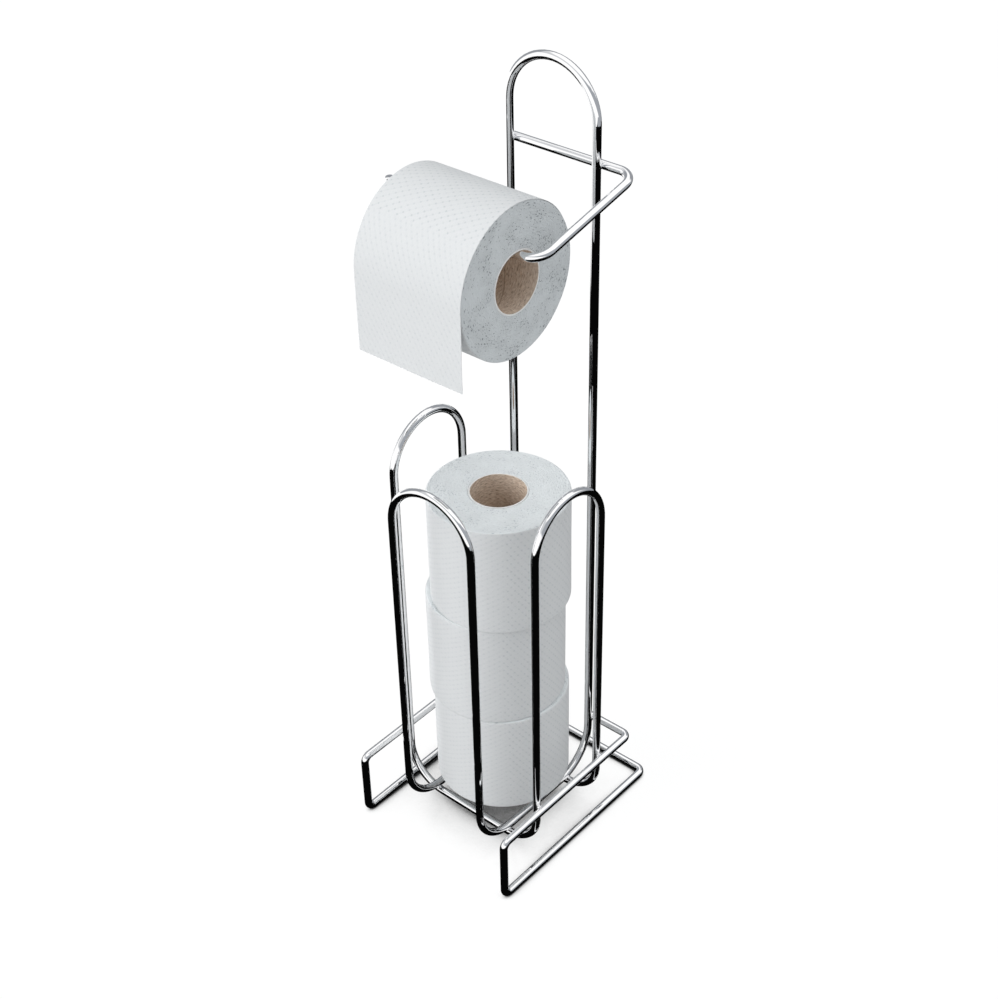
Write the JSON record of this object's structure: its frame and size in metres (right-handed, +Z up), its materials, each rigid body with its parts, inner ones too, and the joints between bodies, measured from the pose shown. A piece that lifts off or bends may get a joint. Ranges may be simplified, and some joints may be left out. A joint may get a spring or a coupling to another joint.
{
  "type": "toilet roll holder stand",
  "caption": "Free-standing chromed wire holder with an arm for the toilet roll in use and a basket of tall hoops for spare rolls.",
  "frame": {"origin": "on the floor, at the centre of the base's outline", "axes": "+Z up, +Y to the back, where the tall hoop stands, +X to the right seen from the front"},
  "size_m": [0.1596, 0.1914, 0.6438],
  "materials": {
    "chrome": "polished chrome plating on round steel wire",
    "weld": "chrome plated weld bead, slightly uneven",
    "paper": "soft embossed tissue paper",
    "card": "matt brown cardboard"
  },
  "bodies": {
    "frame": {"rear_hoop": "chrome", "front_hoop": "chrome", "left_hoop": "chrome", "right_hoop": "chrome", "base_left": "chrome", "base_right": "chrome", "roll_arm": "chrome", "arm_welds": "weld", "rear_bar_welds": "weld", "rail_welds": "weld", "run_welds": "weld"},
    "arm_roll": {"arm_core": "card", "arm_paper": "paper"},
    "loose_sheet": {"loose_sheet": "paper"},
    "bottom_roll": {"bottom_core": "card", "bottom_paper": "paper"},
    "middle_roll": {"middle_core": "card", "middle_paper": "paper"},
    "top_roll": {"top_core": "card", "top_paper": "paper"}
  },
  "joints": [
    {"name": "arm_roll_spin", "type": "hinge", "parent": "frame", "child": "arm_roll", "pos_m": [0.0051, -0.03816, 0.52902], "axis": [1, 0, 0], "continuous": true},
    {"name": "sheet_swing", "type": "hinge", "parent": "frame", "child": "loose_sheet", "pos_m": [0.0051, -0.09446, 0.52902], "axis": [-1, 0, 0], "range_deg": [0, 60]},
    {"name": "bottom_roll_lift", "type": "slide", "parent": "frame", "child": "bottom_roll", "axis": [0, 0, 1], "range_m": [0, 0.005]},
    {"name": "middle_roll_lift", "type": "slide", "parent": "bottom_roll", "child": "middle_roll", "axis": [0, 0, 1], "range_m": [0, 0.005]},
    {"name": "top_roll_lift", "type": "slide", "parent": "middle_roll", "child": "top_roll", "axis": [0, 0, 1], "range_m": [0, 0.146]}
  ]
}
